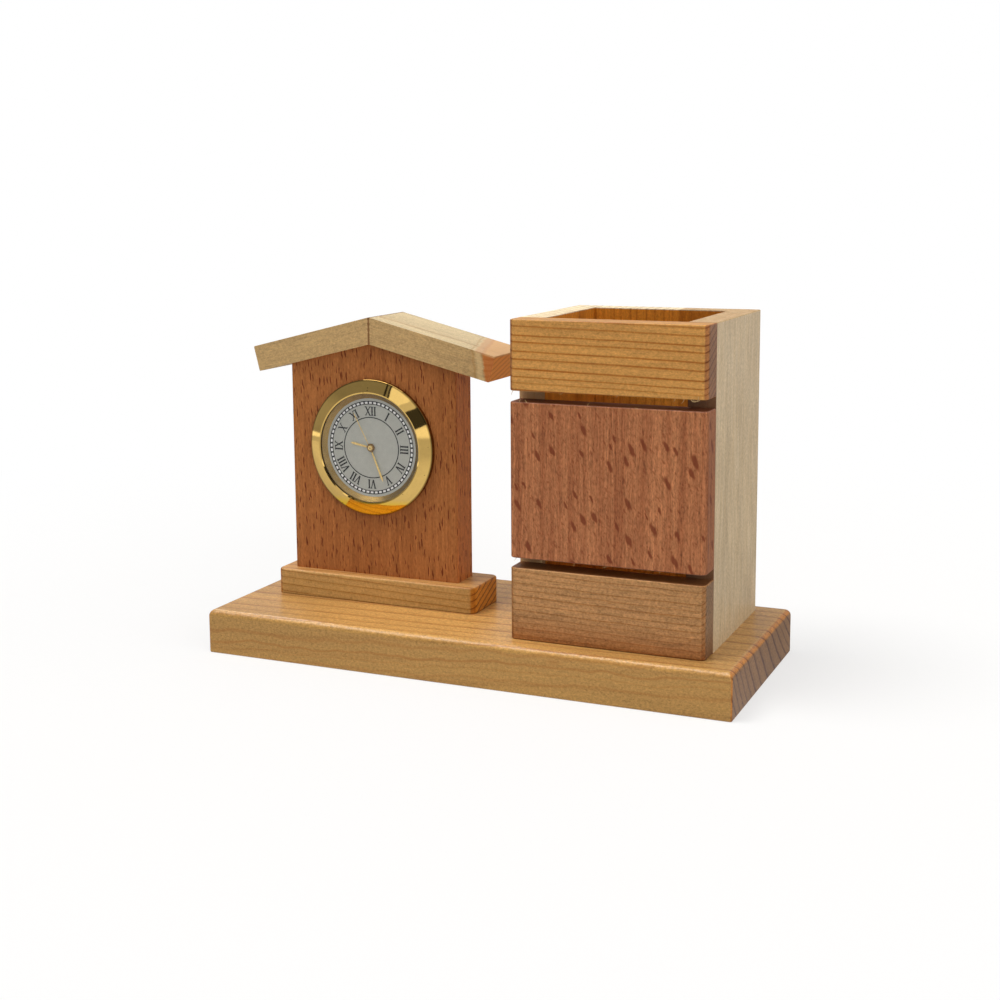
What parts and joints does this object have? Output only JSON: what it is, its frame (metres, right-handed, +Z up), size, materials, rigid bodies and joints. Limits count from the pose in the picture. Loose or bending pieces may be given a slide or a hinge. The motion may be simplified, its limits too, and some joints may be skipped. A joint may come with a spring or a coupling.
{
  "type": "pen holder clock",
  "caption": "Wooden desk stand with an open-topped square pen box beside a small gabled house that holds a round push-in quartz clock with a gilt bezel.",
  "frame": {"origin": "middle of the base board's underside", "axes": "+X along the front to the right, from the clock towards the pen box; +Y to the back, the dial faces -Y; +Z up"},
  "size_m": [0.1442, 0.06, 0.0918],
  "materials": {
    "pine_base": "satin lacquer",
    "pine_plinth": "satin lacquer",
    "beech_house": "satin lacquer",
    "pine_roof": "satin lacquer",
    "pine_box_front": "satin lacquer",
    "beech_box_front": "satin lacquer",
    "pine_box_side": "satin lacquer",
    "screw_steel": "plain",
    "gilt_brass": "polished",
    "hand_gilt": "satin",
    "lens_glass": "clear",
    "dial_paint": "matt",
    "black_plastic": "moulded",
    "grip_rubber": "moulded",
    "plate_plastic": "moulded",
    "wheel_plastic": "moulded",
    "magnet": "sintered",
    "copper_wire": "enamelled",
    "board_laminate": "laminate",
    "chip_resin": "cast",
    "crystal_can": "drawn"
  },
  "bodies": {
    "stand": {"base_board": "pine_base", "clock_plinth": "pine_plinth", "house_board": "beech_house", "roof_board_left": "pine_roof", "roof_board_right": "pine_roof", "box_front_low": "pine_box_front", "box_front_middle": "beech_box_front", "box_front_top": "pine_box_front", "box_side_left": "pine_box_side", "box_side_right": "pine_box_side", "box_back": "pine_box_side", "house_screws": "screw_steel"},
    "clock_insert": {"bezel": "gilt_brass", "lens": "lens_glass", "dial_ring": "gilt_brass", "dial": "dial_paint", "case_cup": "black_plastic", "grip_band": "grip_rubber", "main_plate": "plate_plastic", "train_bridge": "plate_plastic", "bridge_screws": "screw_steel", "stator": "screw_steel", "coil_core": "screw_steel", "coil_winding": "copper_wire", "coil_screws": "screw_steel", "circuit_board": "board_laminate", "driver_chip": "chip_resin", "quartz_crystal": "crystal_can", "button_cell": "screw_steel", "cell_contact_negative": "screw_steel", "cell_contact_positive": "screw_steel"},
    "battery_hatch": {"battery_hatch": "black_plastic"},
    "setting_knob": {"setting_knob": "black_plastic"},
    "second_arbor": {"second_wheel": "wheel_plastic", "second_hand": "hand_gilt"},
    "minute_pipe": {"centre_wheel": "wheel_plastic", "minute_hand": "hand_gilt"},
    "hour_pipe": {"hour_wheel": "wheel_plastic", "hour_hand": "hand_gilt"},
    "third_wheel": {"third_wheel": "wheel_plastic"},
    "intermediate_wheel": {"intermediate_wheel": "wheel_plastic"},
    "rotor": {"rotor_magnet": "magnet", "rotor_pinion": "wheel_plastic"},
    "minute_wheel": {"minute_wheel": "wheel_plastic"}
  },
  "joints": [
    {"name": "insert_slide", "type": "slide", "parent": "stand", "child": "clock_insert", "axis": [0, -1, 0], "range_m": [0, 0.012]},
    {"name": "hatch_pull", "type": "slide", "parent": "clock_insert", "child": "battery_hatch", "axis": [0, 1, 0], "range_m": [0, 0.006]},
    {"name": "second_hand_spin", "type": "hinge", "parent": "clock_insert", "child": "second_arbor", "pos_m": [-0.0349, -0.00435, 0.05425], "axis": [0, 1, 0], "continuous": true},
    {"name": "minute_hand_spin", "type": "hinge", "parent": "clock_insert", "child": "minute_pipe", "pos_m": [-0.0349, -0.00435, 0.05425], "axis": [0, 1, 0], "continuous": true},
    {"name": "hour_hand_spin", "type": "hinge", "parent": "clock_insert", "child": "hour_pipe", "pos_m": [-0.0349, -0.00435, 0.05425], "axis": [0, 1, 0], "continuous": true},
    {"name": "third_wheel_spin", "type": "hinge", "parent": "clock_insert", "child": "third_wheel", "pos_m": [-0.0349, -0.00435, 0.06037], "axis": [0, 1, 0], "continuous": true},
    {"name": "intermediate_spin", "type": "hinge", "parent": "clock_insert", "child": "intermediate_wheel", "pos_m": [-0.0401, -0.00435, 0.05725], "axis": [0, 1, 0], "continuous": true},
    {"name": "rotor_spin", "type": "hinge", "parent": "clock_insert", "child": "rotor", "pos_m": [-0.0422, -0.00435, 0.05361], "axis": [0, 1, 0], "continuous": true},
    {"name": "minute_wheel_spin", "type": "hinge", "parent": "clock_insert", "child": "minute_wheel", "pos_m": [-0.0297, -0.00435, 0.05125], "axis": [0, 1, 0], "continuous": true},
    {"name": "setting_knob_spin", "type": "hinge", "parent": "clock_insert", "child": "setting_knob", "pos_m": [-0.02546, -0.00435, 0.04701], "axis": [0, 1, 0], "continuous": true}
  ],
  "couplings": [
    {"joint": "minute_hand_spin", "follows": "second_hand_spin", "ratio": 0.016667},
    {"joint": "hour_hand_spin", "follows": "second_hand_spin", "ratio": 0.0013889},
    {"joint": "third_wheel_spin", "follows": "second_hand_spin", "ratio": -0.13333},
    {"joint": "intermediate_spin", "follows": "second_hand_spin", "ratio": -5},
    {"joint": "rotor_spin", "follows": "second_hand_spin", "ratio": 30},
    {"joint": "minute_wheel_spin", "follows": "second_hand_spin", "ratio": -0.0055556},
    {"joint": "setting_knob_spin", "follows": "second_hand_spin", "ratio": 0.016667}
  ]
}
